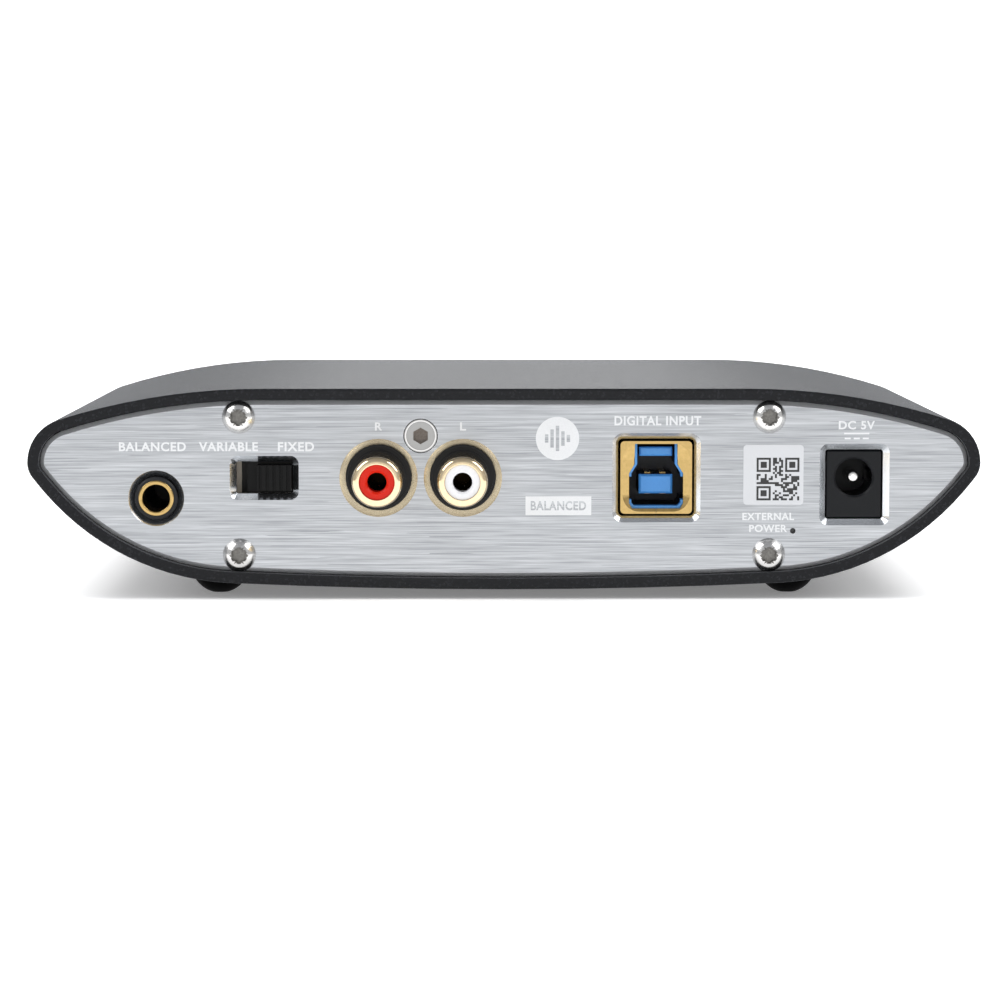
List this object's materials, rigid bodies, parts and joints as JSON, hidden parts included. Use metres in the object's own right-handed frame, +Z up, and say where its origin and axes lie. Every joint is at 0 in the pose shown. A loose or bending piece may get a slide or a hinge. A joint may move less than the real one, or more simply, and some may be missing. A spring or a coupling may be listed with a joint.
{
  "type": "desktop dac",
  "caption": "Low lens-section extruded case with a brushed plate at each end, signal and power sockets at the rear, volume knob, push buttons and headphone jacks at the front.",
  "frame": {"origin": "middle of the overall box, on the surface that the feet stand on", "axes": "+Z up, +X along the width (to the right as seen from the front), +Y from the front controls to the rear sockets"},
  "size_m": [0.158, 0.117, 0.035],
  "materials": {
    "case_paint": "fine bead-blasted anodised, near black",
    "plate_metal": "horizontally brushed, bright cut chamfers",
    "black_steel": "black sheet",
    "bright_steel": "bright",
    "gold_plate": "polished plating",
    "pale_gold": "polished plating",
    "board_green": "solder mask",
    "chip_black": "moulded",
    "black_plastic": "moulded",
    "can_metal": "can",
    "film_red": "moulded",
    "ferrite": "sintered",
    "white_plastic": "moulded",
    "red_plastic": "moulded",
    "blue_plastic": "moulded",
    "laminate": "laminate",
    "clear_plastic": "translucent",
    "paper": "printed sticker",
    "foot_rubber": "satin",
    "tape": "double-sided tape",
    "knob_metal": "turned"
  },
  "bodies": {
    "chassis": {"balanced_jack_body": "black_plastic", "balanced_jack_contacts": "gold_plate", "balanced_jack_sleeve": "gold_plate", "bass_switch_body": "black_plastic", "bass_switch_spring": "bright_steel", "body_shell": "case_paint", "button_light_pipes": "clear_plastic", "clock_cans": "can_metal", "dc_jack_body": "black_plastic", "dc_jack_pin": "bright_steel", "dc_jack_spring": "bright_steel", "electrolytic_capacitors": "can_metal", "film_capacitors": "film_red", "foot_front_left": "foot_rubber", "foot_front_right": "foot_rubber", "foot_rear_left": "foot_rubber", "foot_rear_right": "foot_rubber", "front_carrier": "black_steel", "front_carrier_screws": "bright_steel", "front_leds": "white_plastic", "front_panel": "plate_metal", "front_panel_tape": "tape", "gain_switch_body": "black_plastic", "gain_switch_spring": "bright_steel", "halo_light_guide": "clear_plastic", "line_jack_body": "black_plastic", "line_jack_contacts": "gold_plate", "line_jack_sleeve": "gold_plate", "main_board": "board_green", "panel_label": "paper", "phones_jack_body": "black_plastic", "phones_jack_contacts": "gold_plate", "phones_jack_sleeve": "gold_plate", "phono_contacts": "gold_plate", "phono_fixing_screw": "bright_steel", "phono_housing": "black_plastic", "phono_insulator_left": "white_plastic", "phono_insulator_right": "red_plastic", "phono_shell_left": "pale_gold", "phono_shell_right": "pale_gold", "pot_body": "black_plastic", "pot_bush": "bright_steel", "power_inductors": "ferrite", "power_led": "clear_plastic", "rear_panel": "plate_metal", "rear_panel_screws": "bright_steel", "signal_chips": "chip_black", "switch_base": "laminate", "switch_frame": "bright_steel", "switch_terminals": "bright_steel", "usb_contacts": "gold_plate", "usb_insulator": "blue_plastic", "usb_shell": "gold_plate"},
    "volume_control": {"volume_knob": "knob_metal", "pot_shaft": "bright_steel"},
    "gain_push": {"gain_button": "knob_metal", "gain_switch_plunger": "white_plastic"},
    "bass_push": {"bass_button": "knob_metal", "bass_switch_plunger": "white_plastic"},
    "output_slider": {"switch_slider": "black_plastic"}
  },
  "joints": [
    {"name": "volume_turn", "type": "hinge", "parent": "chassis", "child": "volume_control", "pos_m": [0, -0.05, 0.0194], "axis": [0, 1, 0], "range_deg": [-150, 150]},
    {"name": "gain_press", "type": "slide", "parent": "chassis", "child": "gain_push", "axis": [0, 1, 0], "range_m": [0, 0.0009], "stiffness_N_per_m": 1500, "springref_m": -0.0006, "deforming": ["gain_switch_spring"]},
    {"name": "bass_press", "type": "slide", "parent": "chassis", "child": "bass_push", "axis": [0, 1, 0], "range_m": [0, 0.0009], "stiffness_N_per_m": 1500, "springref_m": -0.0006, "deforming": ["bass_switch_spring"]},
    {"name": "output_slide", "type": "slide", "parent": "chassis", "child": "output_slider", "axis": [1, 0, 0], "range_m": [0, 0.00335]}
  ]
}
